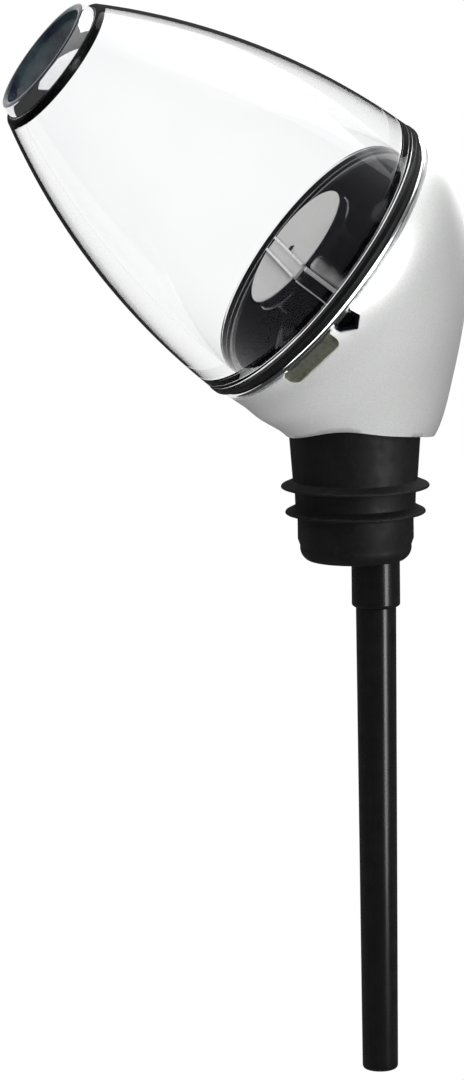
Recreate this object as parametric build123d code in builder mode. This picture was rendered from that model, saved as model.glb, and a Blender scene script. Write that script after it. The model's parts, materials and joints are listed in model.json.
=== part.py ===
from build123d import *
import os
from math import cos, radians, sin

os.makedirs("parts", exist_ok=True)

# A wine-aerating pourer that stands in the neck of a bottle. The origin is on the stopper's axis, in
# the plane where the silver head sits on the stopper. +Z is up and the head pours towards -X.

# ---------------------------------------------------------------- driving dimensions, millimetres
head_rise = 37.78             # pouring direction above the horizontal, degrees
seam_x, seam_z = -5.1, 26.0   # centre of the chrome ring between the clear and silver halves
seam_radius = 23.7            # outside of the silver half at the ring

bell_foot_radius, bell_foot = 24.15, 2.5      # clear bell at its wide end
bell_belly_radius, bell_belly = 19.5, 30.0
bell_lip_radius, bell_lip = 10.95, 50.1       # and at its pouring end
cavity_foot_radius, cavity_foot = 20.35, 2.0    # its inside, thicker towards the seam
cavity_belly_radius, cavity_belly = 16.5, 29.6
cavity_lip_radius = 9.35
flange_radius, flange_bottom, flange_top = 24.3, 1.2, 1.95
skirt_outer, skirt_inner, skirt_bottom = 21.8, 20.95, -2.6

mouth_seat, mouth_front = 48.95, 52.6         # pouring lip, along the head
mouth_outer, mouth_inner = 9.9, 8.2

trim_half_height, trim_foot = 0.45, -1.1
trim_inner, trim_outer = 22.2, 23.85
shell_rim, shell_wall = -0.85, 1.2
shell_ceiling, shell_floor = 2.6, 3.8         # underside and top of the floor over the stopper

collar_outer, collar_inner, collar_top = 20.65, 18.9, 1.7
bowl_floor, bowl_bottom, bowl_foot_radius = -7.6, -9.2, 15.4
seal_height, seal_groove, seal_section = -0.8, 0.65, 0.6
turret_outer, turret_wall = 10.3, 1.5
disc_radius, disc_bottom, disc_top = 10.1, 3.3, 4.9
air_hole_radius = 0.5
spray_count, spray_radius, spray_height = 8, 0.8, 1.9

duct_offset, duct_bearing, duct_width = -2.25, -97.0, 2.6
duct_depth, duct_bore, duct_height = 1.85, 0.55, -3.1
port_bearing, port_wall, port_depth = -104.8, 0.55, 1.1
port_corners = [(-2.2, 0), (-2.0, -1.95), (-0.1, -3.75), (1.8, -2.6), (1.5, 0)]    # from the seam
vent_bearing, vent_half_width, vent_bottom, vent_corner = -125.3, 5.4, -3.3, 1.4

wine_x, wine_radius = -2.9, 3.4               # the two channels side by side in the neck
tube_x, air_radius = 3.06, 1.6
flange_z, gasket_z, elbow_z = 4.8, 5.3, 7.4
elbow_radius, elbow_top_radius, elbow_bore = 8.4, 9.6, 7.6
spigot_radius, spigot_end, neck_radius = 7.0, -17.6, 8.15
socket_radius, socket_end, socket_bore, socket_stop = 3.65, -25.8, 2.95, -19.1
nipple_radius, nipple_top = 2.4, -13.0
tube_top_radius, tube_end_radius, tube_end, tube_bore = 3.035, 2.71, -97.5, 1.7

stopper_bore, stopper_top, stopper_bottom = 7.05, 2.5, -18.4
stopper_top_radius, plug_radius = 9.8, 8.7
fit_gap = 0.05                                # sliding clearance between a plug and its socket
seat_gap = 0.05                               # faces that rest on each other but come apart

# ---------------------------------------------------------------- the head's own frame
along = Vector(-cos(radians(head_rise)), 0, sin(radians(head_rise)))    # pouring direction
across = Vector(sin(radians(head_rise)), 0, cos(radians(head_rise)))    # square to it, upwards
seam = Vector(seam_x, 0, seam_z)
head_axis = Axis(seam, along)
head_profile = Plane(origin=seam, x_dir=across, z_dir=(0, -1, 0))       # (radius, distance along)


def head_plane(height):
    """Plane square to the head's axis, at a distance from the seam."""
    return Plane(origin=seam + along * height, x_dir=across, z_dir=along)


def bearing(angle):
    """Direction square to the head's axis, turned from straight up towards +Y."""
    return across * cos(radians(angle)) + Vector(0, 1, 0) * sin(radians(angle))


# ---------------------------------------------------------------- clear half
# Bell blown wide at the seam, with a bead, a shadow groove and a skirt that plugs into the head.
with BuildPart() as clear_chamber:
    with BuildSketch(head_profile):
        with BuildLine():
            Polyline(
                (cavity_foot_radius, cavity_foot),
                (skirt_inner, cavity_foot),
                (skirt_inner, skirt_bottom),
                (skirt_outer, skirt_bottom),
                (skirt_outer, flange_bottom),
                (flange_radius, flange_bottom),
                (flange_radius, flange_top),
                (bell_foot_radius - 0.4, (flange_top + bell_foot) / 2),
                (bell_foot_radius, bell_foot),
            )
            ThreePointArc(
                (bell_foot_radius, bell_foot), (bell_belly_radius, bell_belly), (bell_lip_radius, bell_lip)
            )
            ThreePointArc(
                (bell_lip_radius, bell_lip),
                (bell_lip_radius - 0.4, bell_lip + 0.45),
                (mouth_outer, bell_lip + 0.5),
            )
            Polyline(
                (mouth_outer, bell_lip + 0.5), (mouth_outer, mouth_seat), (cavity_lip_radius, mouth_seat)
            )
            ThreePointArc(
                (cavity_lip_radius, mouth_seat),
                (cavity_belly_radius, cavity_belly),
                (cavity_foot_radius, cavity_foot),
            )
        make_face()
    revolve(axis=head_axis)
clear_chamber.part.label = "clear_chamber"
export_step(clear_chamber.part, "parts/clear_chamber.step")

# Chrome pouring lip pressed into the bell's end, drawn in towards the front.
with BuildPart() as mouth_ring:
    with BuildSketch(head_profile):
        with BuildLine():
            Polyline(
                (mouth_inner, mouth_front - 0.3),
                (mouth_inner, mouth_seat),
                (mouth_outer, mouth_seat),
                (mouth_outer, bell_lip + 0.65),
                (mouth_outer - 0.5, mouth_front - 0.35),
            )
            ThreePointArc(
                (mouth_outer - 0.5, mouth_front - 0.35),
                ((mouth_outer + mouth_inner) / 2 - 0.25, mouth_front),
                (mouth_inner, mouth_front - 0.3),
            )
        make_face()
    revolve(axis=head_axis)
mouth_ring.part.label = "mouth_ring"
export_step(mouth_ring.part, "parts/mouth_ring.step")

# ---------------------------------------------------------------- rings at the seam
# Chrome bead with a foot that drops inside the silver shell's rim.
bead_shoulder = trim_outer - trim_half_height
foot_outer = seam_radius - 0.85
with BuildPart() as trim_ring:
    with BuildSketch(head_profile):
        with BuildLine():
            Polyline(
                (bead_shoulder, -trim_half_height),
                (foot_outer, -trim_half_height),
                (foot_outer, trim_foot),
                (trim_inner, trim_foot),
                (trim_inner, trim_half_height),
                (bead_shoulder, trim_half_height),
            )
            ThreePointArc(
                (bead_shoulder, trim_half_height), (trim_outer, 0), (bead_shoulder, -trim_half_height)
            )
        make_face()
    revolve(axis=head_axis)
trim_ring.part.label = "trim_ring"
export_step(trim_ring.part, "parts/trim_ring.step")

# Flat black washer that the bell's flange sits on.
with BuildPart() as rim_gasket:
    with BuildSketch(head_plane(trim_half_height)):
        Circle(bead_shoulder)
        Circle(trim_inner, mode=Mode.SUBTRACT)
    extrude(amount=flange_bottom - trim_half_height - seat_gap)
rim_gasket.part.label = "rim_gasket"
export_step(rim_gasket.part, "parts/rim_gasket.step")

# Round seal in the collar's groove. It grips the bell's skirt.
seal_radius = skirt_inner - fit_gap - seal_section
with BuildPart() as chamber_seal:
    with BuildSketch(head_profile):
        with Locations((seal_radius, seal_height)):
            Circle(seal_section)
    revolve(axis=head_axis)
chamber_seal.part.label = "chamber_seal"
export_step(chamber_seal.part, "parts/chamber_seal.step")

# ---------------------------------------------------------------- silver shell
# Circles on planes that fan out from the line where the seam's plane meets the stopper's top:
# (turn of the plane in degrees, distance of the circle's centre from that line, radius).
fan_line = seam_x - (seam_z * sin(radians(head_rise)) + shell_rim) / cos(radians(head_rise))
shell_circles = [
    (0, 25.1, 10.95),
    (6, 25.4, 12.5),
    (14, 25.6, 14.6),
    (24, 27.0, 17.3),
    (34, 29.1, 20.0),
    (43, 31.2, 22.5),
    (90 - head_rise, 32.2, seam_radius),
]


def fan_plane(turn, reach):
    """Plane of the fan, centred on one of the shell's circles."""
    outwards = Vector(cos(radians(turn)), 0, sin(radians(turn)))
    return Plane(
        origin=Vector(fan_line, 0, 0) + outwards * reach,
        x_dir=outwards,
        z_dir=(-sin(radians(turn)), 0, cos(radians(turn))),
    )


with BuildPart() as shell_hollow:
    for turn, reach, radius in shell_circles:
        with BuildSketch(fan_plane(turn, reach)):
            Circle(radius - shell_wall)
    loft()
    split(bisect_by=Plane.XY.offset(shell_floor), keep=Keep.TOP)


vent_plane = Plane(origin=seam, x_dir=bearing(vent_bearing + 90), z_dir=bearing(vent_bearing))


def vent_outline(shrink):
    """Long cut with round lower corners, open at the rim, on the plane that touches the shell there."""
    with BuildSketch(vent_plane, mode=Mode.PRIVATE) as outline:
        RectangleRounded(2 * (vent_half_width - shrink), -2 * (vent_bottom + shrink), vent_corner)
    return outline.sketch


port_plane = Plane(origin=seam, x_dir=bearing(port_bearing + 90), z_dir=bearing(port_bearing))


def port_outline(shrink):
    """Slanted notch for the air inlet, open at the rim."""
    with BuildSketch(port_plane, mode=Mode.PRIVATE) as outline:
        with BuildLine():
            Polyline(*port_corners, close=True)
        make_face()
        offset(amount=-shrink)
        fillet(outline.vertices().group_by(Axis(seam, along))[0], 0.3)
    return outline.sketch



# The shell's lower edge rises over the stopper on both sides, most towards the front: (x, z).
rim_edge = [(-11.5, -0.6), (-9.1, 1.35), (-6.0, 2.35), (0, 1.85), (6.5, 1.0), (12.5, -0.1)]
with BuildPart() as rear_shell:
    for turn, reach, radius in shell_circles:
        with BuildSketch(fan_plane(turn, reach)):
            Circle(radius)
    loft()
    fillet(rear_shell.faces().sort_by(Axis.Z)[0].edges(), 0.7)
    add(shell_hollow.part, mode=Mode.SUBTRACT)
    with BuildSketch(Plane.XY):
        Circle(stopper_top_radius + 0.1)
    extrude(amount=shell_ceiling, mode=Mode.SUBTRACT)
    with BuildSketch(Plane.XY):
        Circle(neck_radius + fit_gap)
    extrude(amount=shell_floor, mode=Mode.SUBTRACT)
    with BuildSketch(Plane.XZ):
        with BuildLine():
            edge = Spline(*rim_edge)
            Polyline(edge @ 1, (edge @ 1) - (0, 4), (edge @ 0) - (0, 4), edge @ 0)
        make_face()
    extrude(amount=2 * seam_radius, both=True, mode=Mode.SUBTRACT)
    with BuildSketch(head_plane(shell_rim)):
        Circle(foot_outer + fit_gap)
    extrude(amount=trim_foot - shell_rim, mode=Mode.SUBTRACT)
    extrude(vent_outline(0), amount=seam_radius + 2, mode=Mode.SUBTRACT)
    extrude(port_outline(0), amount=seam_radius + 2, mode=Mode.SUBTRACT)
rear_shell.part.label = "rear_shell"
export_step(rear_shell.part, "parts/rear_shell.step")

# Olive pad that closes the vent, a little below the shell's surface and under the chrome ring's foot.
vent_inside, vent_thick = skirt_outer + 0.35, 0.55
with BuildPart() as vent_insert:
    extrude(vent_outline(fit_gap), amount=vent_inside + vent_thick)
    with BuildSketch(vent_plane):
        Rectangle(4 * vent_half_width, 20)
    extrude(amount=vent_inside, mode=Mode.SUBTRACT)
    split(bisect_by=head_plane(trim_foot - fit_gap), keep=Keep.BOTTOM)
vent_insert.part.label = "vent_insert"
export_step(vent_insert.part, "parts/vent_insert.step")

# Dark frame around the air inlet, in the notch below the chrome ring's foot.
port_inside = seam_radius - 0.45 - port_depth
with BuildPart() as air_port_bush:
    extrude(port_outline(fit_gap), amount=port_inside + port_depth)
    extrude(port_outline(port_wall), amount=port_inside + port_depth, mode=Mode.SUBTRACT)
    with BuildSketch(port_plane):
        Circle(10)
    extrude(amount=port_inside, mode=Mode.SUBTRACT)
    split(bisect_by=head_plane(trim_foot - fit_gap), keep=Keep.BOTTOM)
air_port_bush.part.label = "air_port_bush"
export_step(air_port_bush.part, "parts/air_port_bush.step")

# ---------------------------------------------------------------- black core
duct_plane = Plane(
    origin=seam + across * duct_offset,
    x_dir=bearing(duct_bearing),
    z_dir=bearing(duct_bearing).cross(along),
)
duct_end_plane = Plane(
    origin=seam + across * duct_offset + along * duct_height,
    x_dir=along,
    z_dir=bearing(duct_bearing),
)

# Bowl with the collar that the bell plugs onto, a seal groove and the air duct's hole.
groove_floor = collar_outer - 1.0
with BuildPart() as inner_cup:
    with BuildSketch(head_profile):
        with BuildLine():
            Polyline(
                (collar_outer, bowl_bottom + 6.4),
                (collar_outer, seal_height - seal_groove),
                (groove_floor, seal_height - seal_groove),
                (groove_floor, seal_height + seal_groove),
                (collar_outer, seal_height + seal_groove),
                (collar_outer, collar_top - 0.4),
                (collar_outer - 0.4, collar_top),
                (collar_inner + 0.3, collar_top),
                (collar_inner, collar_top - 0.3),
                (collar_inner, bowl_floor + 3.2),
            )
            ThreePointArc(
                (collar_inner, bowl_floor + 3.2),
                (collar_inner - 0.95, bowl_floor + 1.0),
                (collar_inner - 3.9, bowl_floor),
            )
            Polyline(
                (collar_inner - 3.9, bowl_floor),
                (elbow_bore, bowl_floor),
                (elbow_bore, bowl_bottom),
                (bowl_foot_radius, bowl_bottom),
            )
            ThreePointArc(
                (bowl_foot_radius, bowl_bottom),
                (collar_outer - 1.2, bowl_bottom + 2.4),
                (collar_outer, bowl_bottom + 6.4),
            )
        make_face()
    revolve(axis=head_axis)
    with BuildSketch(duct_end_plane):
        Circle(duct_bore)
    extrude(amount=collar_outer + 2, mode=Mode.SUBTRACT)
inner_cup.part.label = "inner_cup"
export_step(inner_cup.part, "parts/inner_cup.step")

# Hollow turret that stands on the bowl's floor, with a ring of spray holes near the top.
with BuildPart() as turret:
    with BuildSketch(head_plane(bowl_floor)):
        Circle(turret_outer)
        Circle(turret_outer - turret_wall, mode=Mode.SUBTRACT)
    extrude(amount=disc_bottom - bowl_floor)
    chamfer(turret.edges().group_by(Axis(seam, along))[-1].sort_by(SortBy.RADIUS)[-1], 0.2)
    for hole in range(1, spray_count):
        direction = bearing(duct_bearing + 360 / spray_count * hole)
        with BuildSketch(Plane(origin=seam + along * spray_height, z_dir=direction)):
            Circle(spray_radius)
        extrude(amount=turret_outer + 1, mode=Mode.SUBTRACT)
turret.part.label = "turret"
export_step(turret.part, "parts/turret.step")

# Satin disc on the turret, with a slot across it for the duct's cover and the small air hole.
cover_thick, cover_gap = 0.5, 0.1
air_passage = 1.0
with BuildPart() as diffuser_disc:
    with BuildSketch(head_plane(disc_bottom)):
        Circle(disc_radius)
    extrude(amount=disc_top - disc_bottom)
    fillet(diffuser_disc.edges().group_by(Axis(seam, along))[-1], 0.3)
    with BuildSketch(head_plane(disc_top)):
        with Locations(Location((duct_offset, 0), duct_bearing)):
            Rectangle(3 * disc_radius, duct_width)
    extrude(amount=-cover_thick, mode=Mode.SUBTRACT)
    with BuildSketch(head_plane(disc_top - cover_thick)):
        with Locations(Location((duct_offset, 0), duct_bearing)):
            Rectangle(1.5 * disc_radius, air_passage, align=(Align.MIN, Align.CENTER))
    extrude(amount=-cover_thick, mode=Mode.SUBTRACT)
    with BuildSketch(head_plane(disc_bottom)):
        with Locations((duct_offset + duct_width / 2 + air_hole_radius, 0)):
            Circle(air_hole_radius)
    extrude(amount=disc_top - disc_bottom, mode=Mode.SUBTRACT)
diffuser_disc.part.label = "diffuser_disc"
export_step(diffuser_disc.part, "parts/diffuser_disc.step")

# Strip that covers the air passage in the disc.
with BuildPart() as duct_cover:
    with BuildSketch(head_plane(disc_top - cover_thick)):
        Circle(disc_radius - 0.15)
        with Locations(Location((duct_offset, 0), duct_bearing)):
            Rectangle(3 * disc_radius, duct_width - 2 * cover_gap, mode=Mode.INTERSECT)
    extrude(amount=cover_thick)
duct_cover.part.label = "duct_cover"
export_step(duct_cover.part, "parts/duct_cover.step")

# Duct that brings air from the inlet across the bowl and up the turret's near side.
duct_face = turret_outer - 0.5 + duct_depth
with BuildPart() as air_duct:
    with BuildSketch(duct_plane):
        with BuildLine():
            Polyline(
                (turret_outer - 3, bowl_floor),
                (duct_face, bowl_floor),
                (duct_face, duct_height - 2 * duct_bore),
                (collar_inner + 1, duct_height - 2 * duct_bore),
                (collar_inner + 1, duct_height + 2 * duct_bore),
                (duct_face, duct_height + 2 * duct_bore),
                (duct_face, disc_top - 0.9),
                (duct_face - 0.5, disc_top - 0.4),
                (turret_outer - 3, disc_top - 0.4),
                close=True,
            )
        make_face()
    extrude(amount=duct_width / 2, both=True)
    with BuildSketch(head_plane(bowl_floor)):
        Circle(turret_outer)
    extrude(amount=disc_top - bowl_floor, mode=Mode.SUBTRACT)
    with BuildSketch(head_plane(bowl_floor)):
        Circle(collar_inner)
    extrude(amount=disc_top - bowl_floor, mode=Mode.INTERSECT)
    with BuildSketch(duct_end_plane):
        Circle(duct_bore)
    extrude(amount=collar_outer + 2, mode=Mode.SUBTRACT)
    with BuildSketch(head_plane(duct_height)):
        with Locations(Location((duct_offset, 0), duct_bearing)):
            with Locations((duct_face - duct_depth / 2, 0)):
                Circle(duct_bore)
    extrude(amount=disc_top - duct_height, mode=Mode.SUBTRACT)
air_duct.part.label = "air_duct"
export_step(air_duct.part, "parts/air_duct.step")

# ---------------------------------------------------------------- neck
# Elbow that turns the wine from the upright neck into the tilted bowl. The air channel leaves it
# sideways, into the hollow shell.
elbow_outlet_z = (gasket_z + elbow_z) / 2
with BuildPart() as neck_elbow:
    with BuildSketch(Plane.XY.offset(gasket_z)):
        Circle(elbow_radius)
    extrude(amount=elbow_z - gasket_z)
    with BuildSketch(Plane.XY.offset(elbow_z)):
        Circle(elbow_radius)
    with BuildSketch(head_plane(bowl_bottom)):
        Circle(elbow_top_radius)
    loft()
    with BuildSketch(Plane.XY.offset(elbow_z)):
        with Locations((wine_x, 0)):
            Circle(wine_radius)
    with BuildSketch(head_plane(bowl_bottom)):
        Circle(elbow_bore)
    loft(mode=Mode.SUBTRACT)
    with BuildSketch(Plane.XY.offset(gasket_z)):
        with Locations((wine_x, 0)):
            Circle(wine_radius)
    extrude(amount=elbow_z - gasket_z, mode=Mode.SUBTRACT)
    with BuildSketch(Plane.XY.offset(gasket_z)):
        with Locations((tube_x, 0)):
            Circle(air_radius)
    extrude(amount=elbow_outlet_z - gasket_z, mode=Mode.SUBTRACT)
    with BuildSketch(Plane(origin=(tube_x, 0, elbow_outlet_z), x_dir=(1, 0, 0), z_dir=(0, -1, 0))):
        Circle(air_radius - 0.7)
    extrude(amount=elbow_radius + 1, mode=Mode.SUBTRACT)
neck_elbow.part.label = "neck_elbow"
export_step(neck_elbow.part, "parts/neck_elbow.step")


def channels(plane, outside, air_hole):
    """Round section with the wine channel and the air channel side by side."""
    with BuildSketch(plane, mode=Mode.PRIVATE) as section:
        Circle(outside)
        with Locations((wine_x, 0)):
            Circle(wine_radius, mode=Mode.SUBTRACT)
        with Locations((tube_x, 0)):
            Circle(air_hole, mode=Mode.SUBTRACT)
    return section.sketch


# Washer between elbow and spigot, with a hole for each channel.
with BuildPart() as neck_gasket:
    extrude(channels(Plane.XY.offset(flange_z), elbow_radius, air_radius), amount=gasket_z - flange_z)
neck_gasket.part.label = "neck_gasket"
export_step(neck_gasket.part, "parts/neck_gasket.step")

# Spigot that clamps the shell's floor with its flange and carries the stopper.
flange_outer = 9.0
with BuildPart() as neck_spigot:
    extrude(channels(Plane.XY.offset(shell_floor), flange_outer, air_radius), amount=flange_z - shell_floor)
    extrude(
        channels(Plane.XY.offset(shell_ceiling), neck_radius, air_radius), amount=shell_floor - shell_ceiling
    )
    extrude(
        channels(Plane.XY.offset(nipple_top), spigot_radius, air_radius), amount=shell_ceiling - nipple_top
    )
    extrude(
        channels(Plane.XY.offset(spigot_end), spigot_radius, nipple_radius), amount=nipple_top - spigot_end
    )
neck_spigot.part.label = "neck_spigot"
export_step(neck_spigot.part, "parts/neck_spigot.step")

# ---------------------------------------------------------------- stopper and tube
tube_axis = Axis((tube_x, 0, 0), (0, 0, 1))
tube_profile = Plane(origin=(tube_x, 0, 0), x_dir=(1, 0, 0), z_dir=(0, -1, 0))   # (radius, height)

# Socket below the spigot: a nipple pressed into it and a sleeve for the air tube.
with BuildPart() as tube_socket:
    with BuildSketch(tube_profile):
        with BuildLine():
            Polyline(
                (air_radius, nipple_top),
                (nipple_radius, nipple_top),
                (nipple_radius, spigot_end),
                (socket_radius - 0.3, spigot_end),
                (socket_radius, spigot_end - 0.3),
                (socket_radius, socket_end + 0.6),
            )
            ThreePointArc(
                (socket_radius, socket_end + 0.6),
                (socket_radius - 0.15, socket_end + 0.15),
                (socket_radius - 0.5, socket_end),
            )
            Polyline(
                (socket_radius - 0.5, socket_end),
                (socket_bore, socket_end),
                (socket_bore, socket_stop),
                (air_radius, socket_stop),
                (air_radius, nipple_top),
            )
        make_face()
    revolve(axis=tube_axis)
tube_socket.part.label = "tube_socket"
export_step(tube_socket.part, "parts/tube_socket.step")

# Long air tube with a slight draft. Its upper end slides up into the socket.
shoulder_z = socket_end - seat_gap
with BuildPart() as air_tube:
    with BuildSketch(tube_profile):
        with BuildLine():
            Polyline(
                (tube_end_radius - 0.6, tube_end),
                (tube_bore, tube_end),
                (tube_bore, socket_stop - 0.2),
                (socket_bore - fit_gap - 0.2, socket_stop - 0.2),
                (socket_bore - fit_gap, socket_stop - 0.4),
                (socket_bore - fit_gap, shoulder_z),
                (tube_top_radius, shoulder_z),
                (tube_end_radius, tube_end + 0.6),
            )
            ThreePointArc(
                (tube_end_radius, tube_end + 0.6),
                (tube_end_radius - 0.18, tube_end + 0.18),
                (tube_end_radius - 0.6, tube_end),
            )
        make_face()
    revolve(axis=tube_axis)
air_tube.part.label = "air_tube"
export_step(air_tube.part, "parts/air_tube.step")

# Silicone stopper: a tapered sleeve with two thin drooping fins and a true cylinder below them.
shoulder_radius, waist_radius = 9.35, 9.1
fin_radii, fin_roots, fin_thick = (11.1, 10.5), (-7.0, -10.9), 1.3
plug_top, plug_bottom = -12.1, -15.2
with BuildPart() as stopper:
    with BuildSketch(Plane.XZ):
        with BuildLine():
            Polyline(
                (stopper_bore + 0.2, stopper_bottom),
                (stopper_bore, stopper_bottom + 0.2),
                (stopper_bore, stopper_top),
                (stopper_top_radius - 0.2, stopper_top),
                (stopper_top_radius, stopper_top - 0.2),
                (stopper_top_radius, 0),
                (shoulder_radius, fin_roots[0] + fin_thick / 2),
                (waist_radius, fin_roots[0] - fin_thick / 2),
                (waist_radius - 0.1, fin_roots[1] + fin_thick / 2),
                (plug_radius, plug_top),
                (plug_radius, plug_bottom),
                (plug_radius - 0.35, plug_bottom - 1.0),
            )
            ThreePointArc(
                (plug_radius - 0.35, plug_bottom - 1.0),
                (plug_radius - 0.75, stopper_bottom + 0.6),
                (stopper_bore + 0.2, stopper_bottom),
            )
        make_face()
    revolve(axis=Axis.Z)
    for fin_radius, fin_root in zip(fin_radii, fin_roots):
        with BuildSketch(Plane.XZ):
            with BuildLine():
                Polyline(
                    (fin_radius, fin_root - 0.45),
                    (waist_radius - 0.5, fin_root - fin_thick / 2 - 0.05),
                    (waist_radius - 0.5, fin_root + fin_thick / 2),
                    (fin_radius - 0.05, fin_root - 0.05),
                )
                ThreePointArc(
                    (fin_radius - 0.05, fin_root - 0.05),
                    (fin_radius + 0.1, fin_root - 0.26),
                    (fin_radius, fin_root - 0.45),
                )
            make_face()
        revolve(axis=Axis.Z)
stopper.part.label = "stopper"
export_step(stopper.part, "parts/stopper.step")
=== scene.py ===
import json
from math import cos, pi, radians, sin, tau

import bmesh
import bpy
from mathutils import Matrix, Vector


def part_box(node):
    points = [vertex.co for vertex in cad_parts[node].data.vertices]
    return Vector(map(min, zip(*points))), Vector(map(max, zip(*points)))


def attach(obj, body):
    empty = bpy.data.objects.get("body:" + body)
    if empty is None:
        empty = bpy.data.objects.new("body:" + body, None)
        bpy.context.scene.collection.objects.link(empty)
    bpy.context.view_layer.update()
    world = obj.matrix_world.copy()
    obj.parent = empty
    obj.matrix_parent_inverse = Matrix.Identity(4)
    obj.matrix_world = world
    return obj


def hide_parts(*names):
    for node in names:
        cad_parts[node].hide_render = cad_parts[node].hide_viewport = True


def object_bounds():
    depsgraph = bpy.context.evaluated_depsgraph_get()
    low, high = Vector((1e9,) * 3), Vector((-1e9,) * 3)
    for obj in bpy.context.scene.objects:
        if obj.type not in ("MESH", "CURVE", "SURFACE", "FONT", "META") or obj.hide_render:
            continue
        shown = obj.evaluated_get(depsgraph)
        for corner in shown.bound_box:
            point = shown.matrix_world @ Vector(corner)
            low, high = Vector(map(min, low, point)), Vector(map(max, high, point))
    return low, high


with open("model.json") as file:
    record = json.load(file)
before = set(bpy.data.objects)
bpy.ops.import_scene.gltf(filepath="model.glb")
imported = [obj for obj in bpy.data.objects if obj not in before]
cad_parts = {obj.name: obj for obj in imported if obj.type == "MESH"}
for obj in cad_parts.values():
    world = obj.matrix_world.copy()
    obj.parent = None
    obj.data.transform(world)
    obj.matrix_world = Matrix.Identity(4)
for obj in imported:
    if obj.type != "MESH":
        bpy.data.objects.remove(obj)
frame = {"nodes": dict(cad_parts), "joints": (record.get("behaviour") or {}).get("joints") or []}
cad_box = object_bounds()

# Camera. The pourer is seen from its left front, a little from above, by a long lens that frames it
# whole with the pouring mouth at the top.
view_azimuth, view_elevation, view_roll = radians(-14.54), radians(9.289), radians(-0.828)
view_distance = 0.7003
view_target = Vector((-0.019164, 0, -0.014531))
sensor_height, lens_per_frame = 36.0, 4706 / 1080    # lens length for one sensor height

towards_camera = Vector(
    (
        sin(view_azimuth) * cos(view_elevation),
        -cos(view_azimuth) * cos(view_elevation),
        sin(view_elevation),
    )
)
level_right = Vector((cos(view_azimuth), sin(view_azimuth), 0))
level_up = towards_camera.cross(level_right)
picture_right = level_right * cos(view_roll) + level_up * sin(view_roll)
picture_up = towards_camera.cross(picture_right)

camera_data = bpy.data.cameras.new("camera")
camera_data.sensor_fit = "VERTICAL"
camera_data.sensor_height = sensor_height
camera_data.lens = lens_per_frame * sensor_height
camera_data.clip_start = 0.01
camera = bpy.data.objects.new("camera", camera_data)
camera.matrix_world = Matrix.Translation(view_target + towards_camera * view_distance) @ Matrix(
    (
        (picture_right.x, picture_up.x, towards_camera.x),
        (picture_right.y, picture_up.y, towards_camera.y),
        (picture_right.z, picture_up.z, towards_camera.z),
    )
).to_4x4()
bpy.context.scene.collection.objects.link(camera)
bpy.context.scene.camera = camera
bpy.context.scene.view_settings.view_transform = "Standard"

# Studio: a plain white floor and a white surround, both of them dim where they are only mirrored in
# the object, with a tall key light at the right front, a soft box overhead, and fills and cards that
# light only the painted and the chromed pieces.
floor_drop, floor_reach = 0.35, 12.0              # below the tube's end; half its width
white_level, mirrored_floor, mirrored_low, mirrored_high = 1.0, 0.05, 0.04, 0.3
backdrop_from = 0.35                              # lean to +Y at which the backdrop starts

floor_z = cad_box[0][2] - floor_drop
bm = bmesh.new()
bmesh.ops.create_grid(bm, x_segments=1, y_segments=1, size=floor_reach)
bmesh.ops.translate(bm, vec=(0, 0, floor_z), verts=bm.verts)
floor_mesh = bpy.data.meshes.new("floor")
bm.to_mesh(floor_mesh)
bm.free()
floor = bpy.data.objects.new("floor", floor_mesh)
bpy.context.scene.collection.objects.link(floor)


def maths(tree, operation, first, second):
    """One sum or comparison of two sockets or numbers."""
    node = tree.nodes.new("ShaderNodeMath")
    node.operation = operation
    for socket, value in zip(node.inputs, (first, second)):
        if isinstance(value, (int, float)):
            socket.default_value = value
        else:
            tree.links.new(value, socket)
    return node.outputs["Value"]


def seen_direct(tree, backdrop):
    """One for light that comes straight or through clear walls, nought once it was mirrored or scattered.

    Light that turns inside a clear wall still counts as direct where one wall is crossed, or where it
    ends on the backdrop, the part of the studio that stands on the +Y side of the room.
    """
    paths = tree.nodes.new("ShaderNodeLightPath").outputs
    unscattered = maths(tree, "LESS_THAN", paths["Diffuse Depth"], 0.5)
    unmirrored = maths(tree, "LESS_THAN", paths["Glossy Depth"], 0.5)
    one_wall = maths(tree, "COMPARE", paths["Transmission Depth"], 2)
    crossed = maths(tree, "GREATER_THAN", paths["Transmission Depth"], 0.5)
    through = maths(tree, "MULTIPLY", backdrop, crossed)
    either = maths(tree, "MAXIMUM", maths(tree, "MAXIMUM", unmirrored, one_wall), through)
    return maths(tree, "MULTIPLY", unscattered, either)


floor_paint = bpy.data.materials.new("floor_paint")
floor_paint.use_nodes = True
tree = floor_paint.node_tree
glow = tree.nodes.new("ShaderNodeEmission")
level = tree.nodes.new("ShaderNodeMapRange")
level.inputs["To Min"].default_value = mirrored_floor
level.inputs["To Max"].default_value = white_level
place = tree.nodes.new("ShaderNodeSeparateXYZ")
tree.links.new(tree.nodes.new("ShaderNodeTexCoord").outputs["Object"], place.inputs["Vector"])
backdrop = maths(tree, "GREATER_THAN", place.outputs["Y"], 0.0)
tree.links.new(seen_direct(tree, backdrop), level.inputs["Value"])
tree.links.new(level.outputs["Result"], glow.inputs["Strength"])
tree.links.new(glow.outputs["Emission"], tree.nodes["Material Output"].inputs["Surface"])
floor.data.materials.append(floor_paint)

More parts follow.
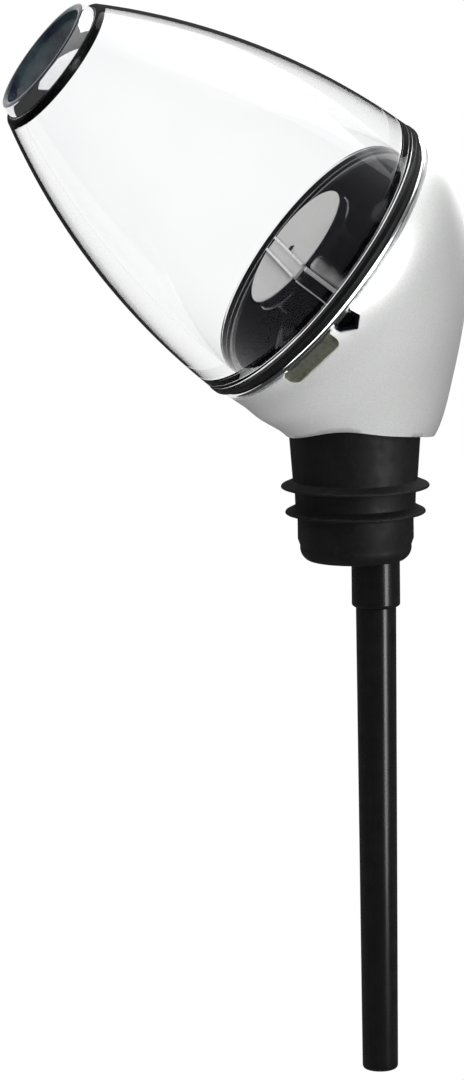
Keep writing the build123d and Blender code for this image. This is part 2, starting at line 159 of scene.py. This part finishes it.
world = bpy.data.worlds.new("studio")
bpy.context.scene.world = world
world.use_nodes = True
tree = world.node_tree
height = tree.nodes.new("ShaderNodeSeparateXYZ")
tree.links.new(tree.nodes.new("ShaderNodeTexCoord").outputs["Generated"], height.inputs["Vector"])
mirrored = tree.nodes.new("ShaderNodeMapRange")
mirrored.inputs["To Min"].default_value = mirrored_low
mirrored.inputs["To Max"].default_value = mirrored_high
tree.links.new(height.outputs["Z"], mirrored.inputs["Value"])
level = tree.nodes.new("ShaderNodeMix")
backdrop = maths(tree, "GREATER_THAN", height.outputs["Y"], backdrop_from)
tree.links.new(seen_direct(tree, backdrop), level.inputs["Factor"])
tree.links.new(mirrored.outputs["Result"], level.inputs["A"])
level.inputs["B"].default_value = white_level
tree.links.new(level.outputs["Result"], tree.nodes["Background"].inputs["Color"])


painted, chromed, not_keyed = (
    bpy.data.collections.new(name) for name in ("painted", "chromed", "not_keyed")
)


def soft_box(name, azimuth, elevation, distance, width, height, radiance, only=None):
    """A flat rectangular light that faces the object from a direction given in degrees."""
    data = bpy.data.lights.new(name, "AREA")
    data.shape = "RECTANGLE"
    data.size, data.size_y = width, height
    data.energy = radiance * pi * width * height
    light = bpy.data.objects.new(name, data)
    out = Vector(
        (
            sin(radians(azimuth)) * cos(radians(elevation)),
            -cos(radians(azimuth)) * cos(radians(elevation)),
            sin(radians(elevation)),
        )
    )
    turn = out.to_track_quat("Z", "Y").to_matrix().to_4x4()
    light.matrix_world = Matrix.Translation(out * distance) @ turn
    light.visible_camera = False
    light.light_linking.receiver_collection = only
    bpy.context.scene.collection.objects.link(light)


soft_box("key_box", 36, 2, 1.2, 0.3, 0.75, 8.0, not_keyed)
soft_box("top_box", 120, 62, 1.3, 1.2, 1.0, 1.5)
soft_box("front_fill", -20, 15, 1.2, 1.8, 1.5, 3.5, painted)
soft_box("low_fill", -60, -25, 1.2, 1.4, 1.0, 3.4, painted)
soft_box("back_fill", 165, 25, 1.2, 1.6, 1.2, 3.1, painted)
soft_box("front_card", 0, -2, 0.7, 2.6, 1.2, 0.9, chromed)
soft_box("back_card", 180, 5, 0.7, 2.6, 1.2, 0.9, chromed)

# The clear chamber is a thick-walled bell of clear polished plastic. It is open at both ends, with
# a bead round its foot and a skirt that plugs over the head's collar.
MM = 0.001
pour = Vector(next(joint for joint in frame["joints"] if joint["name"] == "chamber_pull")["axis"])
seal_low, seal_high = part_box("chamber_seal")
seal_below_seam = 0.8 * MM
seam = (seal_low + seal_high) / 2 + pour * seal_below_seam


def arc(first, middle, last, pieces):
    """Points along the circle through three points, without the first one."""
    ax, ay, bx, by, cx, cy = *first, *middle, *last
    turn = 2 * (ax * (by - cy) + bx * (cy - ay) + cx * (ay - by))
    squares = [ax * ax + ay * ay, bx * bx + by * by, cx * cx + cy * cy]
    hub = Vector(
        (
            (squares[0] * (by - cy) + squares[1] * (cy - ay) + squares[2] * (ay - by)) / turn,
            (squares[0] * (cx - bx) + squares[1] * (ax - cx) + squares[2] * (bx - ax)) / turn,
        )
    )
    start, via, end = (Vector(point) - hub for point in (first, middle, last))
    angle = start.angle_signed(via) + via.angle_signed(end)
    return [tuple(hub + Matrix.Rotation(-angle * k / pieces, 2) @ start) for k in range(1, pieces + 1)]


def turned(name, outline, centre, axis, rounding=0.1, around=160, closed=True):
    """Spins an outline of (radius, distance along the axis), in millimetres, and rounds its edges."""
    side = axis.orthogonal().normalized()
    bm = bmesh.new()
    points = [bm.verts.new(centre + (side * radius + axis * along) * MM) for radius, along in outline]
    pairs = list(zip(points, points[1:] + points[:1])) if closed else list(zip(points, points[1:]))
    lines = [bm.edges.new(pair) for pair in pairs]
    bmesh.ops.spin(
        bm, geom=points + lines, cent=centre, axis=axis, angle=tau, steps=around, use_merge=True
    )
    bmesh.ops.remove_doubles(bm, verts=bm.verts, dist=0.002 * MM)
    bmesh.ops.recalc_face_normals(bm, faces=bm.faces)
    corners = [edge for edge in bm.edges if edge.is_manifold and edge.calc_face_angle() > radians(25)]
    if rounding:
        bmesh.ops.bevel(
            bm, geom=corners, offset=rounding * MM, affect="EDGES", segments=3, profile=0.5, material=-1,
            clamp_overlap=True,
        )
    mesh = bpy.data.meshes.new(name)
    bm.to_mesh(mesh)
    bm.free()
    mesh.shade_smooth()
    mesh.set_sharp_from_angle(angle=radians(40))
    piece = bpy.data.objects.new(name, mesh)
    bpy.context.scene.collection.objects.link(piece)
    return piece


def new_material(name):
    """A material with its principled shader, its node tree and the Object coordinates."""
    material = bpy.data.materials.new(name)
    material.use_nodes = True
    tree = material.node_tree
    shader = tree.nodes["Principled BSDF"]
    coordinates = tree.nodes.new("ShaderNodeTexCoord").outputs["Object"]
    return material, tree, shader, coordinates


def noise(tree, coordinates, scale, detail=2.0, stretch=(1, 1, 1)):
    """Noise at a scale in waves to the metre, stretched along the axes where asked."""
    mapping = tree.nodes.new("ShaderNodeMapping")
    mapping.inputs["Scale"].default_value = stretch
    texture = tree.nodes.new("ShaderNodeTexNoise")
    texture.inputs["Scale"].default_value = scale
    texture.inputs["Detail"].default_value = detail
    tree.links.new(coordinates, mapping.inputs["Vector"])
    tree.links.new(mapping.outputs["Vector"], texture.inputs["Vector"])
    return texture.outputs["Fac"]


def spread(tree, factor, low, high, start=0.3, end=0.7):
    """Maps a texture onto a range of values or colours."""
    if isinstance(low, (int, float)):
        node = tree.nodes.new("ShaderNodeMapRange")
        node.inputs["From Min"].default_value = start
        node.inputs["From Max"].default_value = end
        node.inputs["To Min"].default_value = low
        node.inputs["To Max"].default_value = high
        tree.links.new(factor, node.inputs["Value"])
        return node.outputs["Result"]
    node = tree.nodes.new("ShaderNodeValToRGB")
    node.color_ramp.elements[0].position, node.color_ramp.elements[0].color = start, (*low, 1)
    node.color_ramp.elements[1].position, node.color_ramp.elements[1].color = end, (*high, 1)
    tree.links.new(factor, node.inputs["Fac"])
    return node.outputs["Color"]


def relief(tree, shader, height, depth):
    """Bump from a texture, with its depth in metres."""
    bump = tree.nodes.new("ShaderNodeBump")
    bump.inputs["Distance"].default_value = depth
    tree.links.new(height, bump.inputs["Height"])
    tree.links.new(bump.outputs["Normal"], shader.inputs["Normal"])


chamber_outline = [(20.35, 2.0), (20.95, 1.95), (20.95, -2.6), (21.8, -2.6), (21.8, 1.2), (24.3, 1.2)]
chamber_outline += [(24.3, 1.95), (23.75, 2.2), (24.15, 2.5)]
chamber_outline += arc((24.15, 2.5), (19.5, 30.0), (10.95, 50.1), 80)
chamber_outline += arc((10.95, 50.1), (10.55, 50.55), (9.93, 50.6), 5)
chamber_outline += [(9.93, 48.95), (9.35, 48.95)]
chamber_outline += arc((9.35, 48.95), (16.5, 29.6), (20.35, 2.0), 80)[:-1]
clear_bell = turned("clear_bell", chamber_outline, seam, pour, rounding=0.12, around=256)
clear_plastic, tree, shader, coordinates = new_material("clear_plastic")
tree.links.new(
    spread(tree, noise(tree, coordinates, 60, 3), (0.975, 0.98, 0.985), (1.0, 1.0, 1.0)),
    shader.inputs["Base Color"],
)
shader.inputs["Transmission Weight"].default_value = 1.0
shader.inputs["IOR"].default_value = 1.49
shader.inputs["Roughness"].default_value = 0.0
shader.inputs["Specular Tint"].default_value = (0.25, 0.25, 0.27, 1)
lamp_ray = tree.nodes.new("ShaderNodeLightPath").outputs["Is Shadow Ray"]
lamp_way = tree.nodes.new("ShaderNodeBsdfTransparent")
lamp_way.inputs["Color"].default_value = (0.85, 0.85, 0.85, 1)
lit_through = tree.nodes.new("ShaderNodeMixShader")
tree.links.new(lamp_ray, lit_through.inputs["Fac"])
tree.links.new(shader.outputs["BSDF"], lit_through.inputs[1])
tree.links.new(lamp_way.outputs["BSDF"], lit_through.inputs[2])
tree.links.new(lit_through.outputs["Shader"], tree.nodes["Material Output"].inputs["Surface"])
# Black paint on the clear bell's skirt, foot and flange: painted shade where the clear wall looks dark.
foot_painted_shade, tree, shader, coordinates = new_material("foot_painted_shade")
tree.links.new(
    spread(tree, noise(tree, coordinates, 800, 3), (0.003, 0.003, 0.004), (0.007, 0.007, 0.009)),
    shader.inputs["Base Color"],
)
tree.links.new(spread(tree, noise(tree, coordinates, 600, 3), 0.3, 0.45), shader.inputs["Roughness"])
clear_bell.data.materials.append(clear_plastic)
clear_bell.data.materials.append(foot_painted_shade)
# Faces of the bell below this height and within this reach take the painted shade.
painted_shade_top, painted_shade_reach = 1.97 * MM, 25.0 * MM     # the skirt and the foot, flange and all
for face in clear_bell.data.polygons:
    height = (face.center - seam).dot(pour)
    reach = (face.center - seam - pour * height).length
    face.material_index = int(height < painted_shade_top and reach < painted_shade_reach)
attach(clear_bell, "chamber")
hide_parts("clear_chamber")
not_keyed.objects.link(clear_bell)
not_keyed.collection_objects[0].light_linking.link_state = "EXCLUDE"

# The pouring lip is a polished chrome ring pressed into the bell's end. It draws in towards the front.
lip_outline = [(8.2, 52.35), (8.2, 48.95), (9.88, 48.95), (9.88, 50.75), (9.4, 52.25)]
lip_outline += arc((9.4, 52.25), (8.85, 52.6), (8.2, 52.35), 8)[:-1]
pouring_lip = turned("pouring_lip", lip_outline, seam, pour, rounding=0.06, around=128)
chrome_plate, tree, shader, coordinates = new_material("chrome_plate")
shader.inputs["Metallic"].default_value = 1.0
tree.links.new(
    spread(tree, noise(tree, coordinates, 900, 3), (0.78, 0.79, 0.81), (0.86, 0.86, 0.87)),
    shader.inputs["Base Color"],
)
tree.links.new(spread(tree, noise(tree, coordinates, 1500, 4), 0.035, 0.09), shader.inputs["Roughness"])
lip_shadow, tree, shader, coordinates = new_material("lip_shadow")
tree.links.new(
    spread(tree, noise(tree, coordinates, 260, 2), (0.010, 0.012, 0.030), (0.030, 0.055, 0.065), 0.4, 0.62),
    shader.inputs["Base Color"],
)
tree.links.new(spread(tree, noise(tree, coordinates, 500, 3), 0.12, 0.3), shader.inputs["Roughness"])
pouring_lip.data.materials.append(chrome_plate)
pouring_lip.data.materials.append(lip_shadow)
for face in pouring_lip.data.polygons:
    outwards = face.center - seam
    outwards -= pour * outwards.dot(pour)
    faces_in = face.normal.dot(outwards) < 0.1 * outwards.length
    face.material_index = int(faces_in or face.normal.dot(pour) > 0.7)
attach(pouring_lip, "chamber")
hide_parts("mouth_ring")
chromed.objects.link(pouring_lip)

# The trim ring is a chrome bead between the clear and silver halves. Its foot drops inside the shell.
trim_outline = [(23.4, -0.45), (22.85, -0.45), (22.85, -1.1), (22.2, -1.1), (22.2, 0.45), (23.4, 0.45)]
trim_outline += arc((23.4, 0.45), (23.85, 0.0), (23.4, -0.45), 10)[:-1]
chrome_bead = turned("chrome_bead", trim_outline, seam, pour, rounding=0.04, around=192)
chrome_bead.data.materials.append(chrome_plate)
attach(chrome_bead, "head")
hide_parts("trim_ring")
chromed.objects.link(chrome_bead)
painted.objects.link(chrome_bead)

# The silver shell is a moulded plastic cover with satin metallic paint. It has an air inlet and a
# crescent vent on one side, and its lower edge arches over the stopper.


def copied(name, node):
    """A merged, smooth copy of a node's mesh, in an object of its own."""
    mesh = frame["nodes"][node].data.copy()
    bm = bmesh.new()
    bm.from_mesh(mesh)
    bmesh.ops.remove_doubles(bm, verts=bm.verts, dist=0.002 * MM)
    bm.to_mesh(mesh)
    bm.free()
    mesh.materials.clear()
    mesh.shade_smooth()
    mesh.set_sharp_from_angle(angle=radians(30))
    piece = bpy.data.objects.new(name, mesh)
    bpy.context.scene.collection.objects.link(piece)
    return piece


silver_shell = copied("silver_shell", "rear_shell")
silver_paint, tree, shader, coordinates = new_material("silver_paint")
tree.links.new(
    spread(tree, noise(tree, coordinates, 5200, 2), (0.76, 0.77, 0.76), (0.85, 0.86, 0.85), 0.35, 0.65),
    shader.inputs["Base Color"],
)
shader.inputs["Metallic"].default_value = 0.55
tree.links.new(spread(tree, noise(tree, coordinates, 1400, 3), 0.4, 0.48), shader.inputs["Roughness"])
relief(tree, shader, noise(tree, coordinates, 2600, 2), 0.004 * MM)
silver_shell.data.materials.append(silver_paint)
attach(silver_shell, "head")
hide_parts("rear_shell")
painted.objects.link(silver_shell)

# The black core is glossy moulded plastic: a bowl with a collar, a hollow turret on its floor and the
# duct that brings air to the turret.
bowl_outline = [(20.65, -2.8), (20.65, -1.45), (19.65, -1.45), (19.65, -0.15), (20.65, -0.15)]
bowl_outline += [(20.65, 1.3), (20.25, 1.7), (19.2, 1.7), (18.9, 1.4), (18.9, -4.4)]
bowl_outline += arc((18.9, -4.4), (17.95, -6.6), (15.0, -7.6), 12)
bowl_outline += [(7.6, -7.6), (7.6, -9.2), (15.4, -9.2)]
bowl_outline += arc((15.4, -9.2), (19.45, -6.8), (20.65, -2.8), 12)[:-1]
black_bowl = turned("black_bowl", bowl_outline, seam, pour, rounding=0.08, around=160)
black_turret = copied("black_turret", "turret")
black_gloss, tree, shader, coordinates = new_material("black_gloss")
tree.links.new(
    spread(tree, noise(tree, coordinates, 700, 3), (0.002, 0.002, 0.004), (0.005, 0.005, 0.008)),
    shader.inputs["Base Color"],
)
tree.links.new(spread(tree, noise(tree, coordinates, 350, 4), 0.05, 0.13), shader.inputs["Roughness"])
shader.inputs["Specular IOR Level"].default_value = 0.3
relief(tree, shader, noise(tree, coordinates, 160, 2), 0.006 * MM)
for piece, node in ((black_bowl, "inner_cup"), (black_turret, "turret")):
    piece.data.materials.append(black_gloss)
    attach(piece, "head")
    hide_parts(node)
for node in ("air_duct", "air_port_bush", "neck_elbow", "neck_spigot"):
    frame["nodes"][node].data.materials.clear()
    frame["nodes"][node].data.materials.append(black_gloss)

# The disc on the turret is light grey plastic with a satin face and a dark edge. A small air hole
# opens beside the strip that crosses it.
satin_grey, tree, shader, coordinates = new_material("satin_grey")
tree.links.new(
    spread(tree, noise(tree, coordinates, 2400, 3), (0.56, 0.56, 0.55), (0.64, 0.64, 0.63)),
    shader.inputs["Base Color"],
)
tree.links.new(spread(tree, noise(tree, coordinates, 900, 3), 0.3, 0.42), shader.inputs["Roughness"])
relief(tree, shader, noise(tree, coordinates, 5000, 2), 0.004 * MM)

satin_disc = copied("satin_disc", "diffuser_disc")
satin_disc.data.materials.append(satin_grey)
satin_disc.data.materials.append(black_gloss)
for face in satin_disc.data.polygons:
    face.material_index = int(face.normal.dot(pour) < 0.6)
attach(satin_disc, "head")
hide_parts("diffuser_disc")
painted.objects.link(satin_disc)

# The strip over the air passage is the same grey plastic, with a raised rail along each edge that is coloured
# near white as a painted highlight. The rails run on down the front corners of the black duct, which stands
# against the turret's near side, as painted highlights on those corners.
duct_bearing, duct_shift = radians(-97), -2.25 * MM     # the duct's turn round the head and its sideways step
duct_wide, duct_out, duct_foot = 2.6 * MM, 11.65 * MM, -0.6 * MM
strip_top, strip_thick, strip_reach = 4.9 * MM, 0.5 * MM, 9.7 * MM
rail_wide, rail_proud, broad_highlight_rail = 0.42 * MM, 0.3 * MM, 0.65 * MM

across_head = Vector((-pour.z, 0, pour.x)) if pour.x > 0 else Vector((pour.z, 0, -pour.x))
duct_line = across_head * cos(duct_bearing) + Vector((0, 1, 0)) * sin(duct_bearing)
duct_side = pour.cross(duct_line).normalized()
duct_middle = seam + across_head * duct_shift


def bars(name, boxes, material, node=None, rounding=0.08):
    """Rounded bars in the duct's frame: each has (low, high) along its line, its side and the pour."""
    bm = bmesh.new()
    turn = Matrix((duct_line, duct_side, pour)).transposed()
    for low, high in boxes:
        bar = bmesh.ops.create_cube(bm, size=1)["verts"]
        size = [top - bottom for bottom, top in zip(low, high)]
        middle = Vector([(top + bottom) / 2 for bottom, top in zip(low, high)])
        bmesh.ops.scale(bm, vec=size, verts=bar)
        bmesh.ops.translate(bm, vec=middle, verts=bar)
    bmesh.ops.rotate(bm, cent=(0, 0, 0), matrix=turn, verts=bm.verts)
    bmesh.ops.translate(bm, vec=duct_middle, verts=bm.verts)
    bmesh.ops.recalc_face_normals(bm, faces=bm.faces)
    bmesh.ops.bevel(
        bm, geom=bm.edges, offset=rounding * MM, affect="EDGES", segments=3, profile=0.5, material=-1
    )
    mesh = bpy.data.meshes.new(name)
    bm.to_mesh(mesh)
    bm.free()
    mesh.shade_smooth()
    mesh.set_sharp_from_angle(angle=radians(40))
    mesh.materials.append(material)
    piece = bpy.data.objects.new(name, mesh)
    bpy.context.scene.collection.objects.link(piece)
    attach(piece, "head")
    if node:
        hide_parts(node)
    return piece


half = duct_wide / 2
strip = bars(
    "air_strip",
    [((-strip_reach, -half + 0.1 * MM, strip_top - strip_thick), (strip_reach, half - 0.1 * MM, strip_top))],
    satin_grey,
    "duct_cover",
)
painted.objects.link(strip)

# Near-white paint on the rails: painted highlights along the edges of the strip and the duct's front corners.
rail_painted_highlight, tree, shader, coordinates = new_material("rail_painted_highlight")
tree.links.new(
    spread(tree, noise(tree, coordinates, 1800, 3), (0.80, 0.80, 0.80), (0.90, 0.90, 0.90)),
    shader.inputs["Base Color"],
)
tree.links.new(spread(tree, noise(tree, coordinates, 900, 3), 0.15, 0.3), shader.inputs["Roughness"])
highlight_rails = bars(
    "air_strip_highlight_rails",
    [
        ((-strip_reach, -half, strip_top), (strip_reach, -half + rail_wide, strip_top + rail_proud)),
        ((-strip_reach, half - rail_wide, strip_top), (strip_reach, half, strip_top + rail_proud)),
        ((duct_out - rail_wide, -half, duct_foot), (duct_out + 0.1 * MM, -half + rail_wide / 2, strip_top)),
        ((duct_out - rail_wide, half - broad_highlight_rail, duct_foot), (duct_out + 0.1 * MM, half, strip_top)),
    ],
    rail_painted_highlight,
)
painted.objects.link(highlight_rails)

# Beside the duct its moulding runs out in a flank, painted bright next to the rail and dark further on: a
# painted highlight that fades to black.
flank_wide, flank_in, flank_out, flank_top = 2.6 * MM, 9.6 * MM, 11.4 * MM, 4.2 * MM
flank = bars(
    "duct_flank",
    [((flank_in, half + 0.02 * MM, duct_foot), (flank_out, half + flank_wide, flank_top))],
    black_gloss,
    rounding=0.5,
)
flank_painted_highlight, tree, shader, coordinates = new_material("flank_painted_highlight")
step_out = tree.nodes.new("ShaderNodeVectorMath")
step_out.operation = "DOT_PRODUCT"
step_out.inputs[1].default_value = duct_side / MM
tree.links.new(coordinates, step_out.inputs[0])
rail_at = duct_middle.dot(duct_side) / MM + half / MM
wavy = spread(tree, noise(tree, coordinates, 700, 3), -0.25, 0.25)
from_rail = maths(tree, "SUBTRACT", step_out.outputs["Value"], maths(tree, "ADD", wavy, rail_at))
fade_start, fade_end = 0.2, 2.2                   # millimetres from the rail
# The ramp paints the highlight: near white at the rail, black further out.
fade = tree.nodes.new("ShaderNodeValToRGB")
fade.color_ramp.elements[0].color = (0.85, 0.85, 0.85, 1)
fade.color_ramp.elements[1].color = (0.004, 0.004, 0.006, 1)
tree.links.new(spread(tree, from_rail, 0.0, 1.0, fade_start, fade_end), fade.inputs["Fac"])
tree.links.new(fade.outputs["Color"], shader.inputs["Base Color"])
shader.inputs["Roughness"].default_value = 0.25
flank.data.materials[0] = flank_painted_highlight
painted.objects.link(flank)

# A small black pin stands in the disc's air hole, close beside the strip. It is painted shade: a black dot
# for the dark of the hole.
hole_shade_across = -0.6 * MM
hole_shade_pin = turned(
    "hole_shade_pin",
    [(0.0, 4.0), (0.42, 4.0), (0.42, 5.05), (0.3, 5.22), (0.0, 5.25)],
    seam + across_head * hole_shade_across,
    pour,
    rounding=0.03,
    around=32,
    closed=False,
)
hole_shade_pin.data.materials.append(black_gloss)
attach(hole_shade_pin, "head")

# The vent's pad is olive-grey plastic with a fine matte grain.
olive_grain, tree, shader, coordinates = new_material("olive_grain")
tree.links.new(
    spread(tree, noise(tree, coordinates, 1500, 4), (0.2, 0.21, 0.15), (0.32, 0.33, 0.26)),
    shader.inputs["Base Color"],
)
shader.inputs["Roughness"].default_value = 0.7
relief(tree, shader, noise(tree, coordinates, 3000, 3), 0.02 * MM)
frame["nodes"]["vent_insert"].data.materials.clear()
frame["nodes"]["vent_insert"].data.materials.append(olive_grain)

# The stopper is black silicone with a fine matte skin and two thin fins that bend in the bottle.
stopper_outline = [(7.25, -18.4), (7.05, -18.2), (7.05, 2.5), (9.6, 2.5), (9.8, 2.3), (9.8, 0)]
stopper_outline += [(9.35, -6.35), (11.0, -7.05), (11.15, -7.26), (11.1, -7.45), (9.1, -7.65)]
stopper_outline += [(9.0, -10.25), (10.4, -10.95), (10.55, -11.16), (10.5, -11.35), (8.72, -11.6)]
stopper_outline += [(8.7, -12.1), (8.7, -15.2), (8.35, -16.2)]
stopper_outline += arc((8.35, -16.2), (7.95, -17.8), (7.25, -18.4), 8)[:-1]
silicone_stopper = turned(
    "silicone_stopper", stopper_outline, Vector((0, 0, 0)), Vector((0, 0, 1)), rounding=0.12, around=160
)
black_silicone, tree, shader, coordinates = new_material("black_silicone")
tree.links.new(
    spread(tree, noise(tree, coordinates, 1200, 5), (0.005, 0.005, 0.005), (0.012, 0.012, 0.012)),
    shader.inputs["Base Color"],
)
tree.links.new(spread(tree, noise(tree, coordinates, 600, 4), 0.5, 0.68), shader.inputs["Roughness"])
relief(tree, shader, noise(tree, coordinates, 4000, 3), 0.012 * MM)
silicone_stopper.data.materials.append(black_silicone)
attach(silicone_stopper, "stopper")
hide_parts("stopper")
for node in ("rim_gasket", "chamber_seal", "neck_gasket"):
    frame["nodes"][node].data.materials.clear()
    frame["nodes"][node].data.materials.append(black_silicone)

# The air tube and the socket that holds it are glossy black mouldings. The tube narrows slightly.
tube_low, tube_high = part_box("air_tube")
tube_middle = Vector(((tube_low.x + tube_high.x) / 2, (tube_low.y + tube_high.y) / 2, 0))
up = Vector((0, 0, 1))
socket_outline = [(1.6, -13.0), (2.4, -13.0), (2.4, -17.6), (3.35, -17.6), (3.65, -17.9), (3.65, -25.2)]
socket_outline += arc((3.65, -25.2), (3.5, -25.65), (3.15, -25.8), 6)
socket_outline += [(2.95, -25.8), (2.95, -19.1), (1.6, -19.1)]
black_socket = turned("black_socket", socket_outline, tube_middle, up, rounding=0.06, around=96)
tube_outline = [(1.7, -97.5), (1.7, -19.3), (2.7, -19.3), (2.9, -19.5), (2.9, -25.85), (3.035, -25.85)]
tube_outline += [(2.71, -96.9)]
tube_outline += arc((2.71, -96.9), (2.53, -97.32), (2.11, -97.5), 6)
black_tube = turned("black_tube", tube_outline, tube_middle, up, rounding=0.06, around=96)
tube_gloss, tree, shader, coordinates = new_material("tube_gloss")
tree.links.new(
    spread(tree, noise(tree, coordinates, 500, 3), (0.006, 0.006, 0.006), (0.012, 0.012, 0.012)),
    shader.inputs["Base Color"],
)
tree.links.new(
    spread(tree, noise(tree, coordinates, 800, 4, (1, 1, 0.08)), 0.2, 0.3), shader.inputs["Roughness"]
)
relief(tree, shader, noise(tree, coordinates, 500, 2, (1, 1, 0.15)), 0.006 * MM)
for piece, node, body in ((black_socket, "tube_socket", "head"), (black_tube, "air_tube", "tube")):
    piece.data.materials.append(tube_gloss)
    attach(piece, body)
    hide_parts(node)
